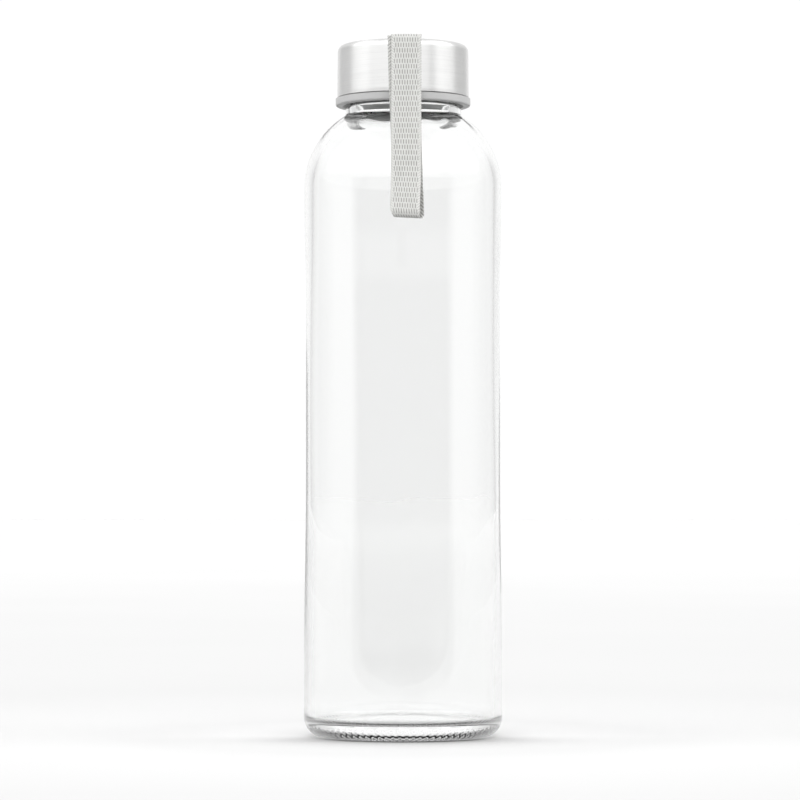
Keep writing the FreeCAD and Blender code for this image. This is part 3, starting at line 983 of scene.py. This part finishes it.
def room_light(tree, side, rise):
    """The soft panels at both sides, the ground below and the ceiling overhead."""
    facing = remap(tree, side, *FRONT_EDGE, 1.0, 0.0)
    behind = remap(tree, side, *BEHIND_EDGE, BACK_SIDE, 1.0)
    panels = remap(tree, rise, *PANEL_RISE, SIDE_PANEL_LOW, SIDE_PANEL)
    wall = add_node(tree, "ShaderNodeMix", Factor=facing, A=behind, B=panels).outputs[0]
    ground = remap(tree, rise, *GROUND_EDGE, 1.0, 0.0)
    low_light = add_node(tree, "ShaderNodeMix", Factor=ground, A=wall, B=1.0).outputs[0]
    ceiling = remap(tree, facing, 0.0, 1.0, BACK_CEILING, FRONT_CEILING)
    overhead = remap(tree, rise, *ZENITH_EDGE)
    ceiling = add_node(tree, "ShaderNodeMix", Factor=overhead, A=ceiling, B=ZENITH).outputs[0]
    level = remap(tree, rise, *CEILING_EDGE)
    return add_node(tree, "ShaderNodeMix", Factor=level, A=low_light, B=ceiling).outputs[0]


def dark_gap(tree, side, rise):
    """1 in the band low in front that stands for the unlit room behind the camera."""
    in_front = remap(tree, side, *GAP_SIDE_EDGE, 1.0, 0.0)
    above = remap(tree, rise, *GAP_LOW_EDGE)
    below = remap(tree, rise, *GAP_HIGH_EDGE, 1.0, 0.0)
    return maths(tree, "MULTIPLY", in_front, maths(tree, "MULTIPLY", above, below))


def make_world():
    """A white studio with soft panels overhead and at both sides, and a dark gap low in front.

    Angles are in degrees: side is 0 at the front and 180 behind, and rise is 0 on the horizon.
    The camera itself sees a plain white backdrop.
    """
    world = bpy.data.worlds.new("studio")
    world.use_nodes = True
    bpy.context.scene.world = world
    tree = world.node_tree
    tree.nodes.clear()
    way = tree.nodes.new("ShaderNodeTexCoord").outputs["Generated"]
    axes = add_node(tree, "ShaderNodeSeparateXYZ", Vector=way).outputs
    turn = maths(tree, "ARCTAN2", axes["X"], maths(tree, "MULTIPLY", axes["Y"], -1.0))
    side = maths(tree, "DEGREES", maths(tree, "ABSOLUTE", turn))
    rise = maths(tree, "DEGREES", maths(tree, "ARCSINE", axes["Z"]))
    gap = remap(tree, dark_gap(tree, side, rise), 0.0, 1.0, 1.0, ROOM_GAP)
    lit = maths(tree, "MULTIPLY", room_light(tree, side, rise), gap)
    off_flag = maths(tree, "SUBTRACT", maths(tree, "DEGREES", turn), FLAG_TURN)
    off_flag = maths(tree, "ABSOLUTE", off_flag)
    lit = maths(tree, "MULTIPLY", lit, remap(tree, off_flag, *FLAG_EDGE, FLAG_LEVEL, 1.0))
    paths = tree.nodes.new("ShaderNodeLightPath").outputs
    seen = add_node(tree, "ShaderNodeMix", Factor=paths["Is Camera Ray"], A=lit, B=BACKDROP).outputs[0]
    background = add_node(tree, "ShaderNodeBackground", Color=(1, 1, 1, 1), Strength=seen)
    output = tree.nodes.new("ShaderNodeOutputWorld")
    tree.links.new(background.outputs[0], output.inputs["Surface"])


def make_camera():
    camera = bpy.data.objects.new("camera", bpy.data.cameras.new("camera"))
    bpy.context.scene.collection.objects.link(camera)
    camera.location = (CAMERA_SIDE, -CAMERA_DISTANCE, CAMERA_HEIGHT)
    camera.rotation_euler = (math.radians(90 + CAMERA_PITCH), 0, 0)
    camera.data.lens = CAMERA_LENS
    camera.data.sensor_width = 36.0
    camera.data.clip_start = 0.05
    camera.data.clip_end = 100.0
    bpy.context.scene.camera = camera


make_camera()
make_floor()
make_world()
make_glass()
make_shell()
dress_nodes()
loop = make_strap_loop()
tail = make_strap_tail()
make_stitching()
bpy.context.scene.view_settings.view_transform = "Standard"
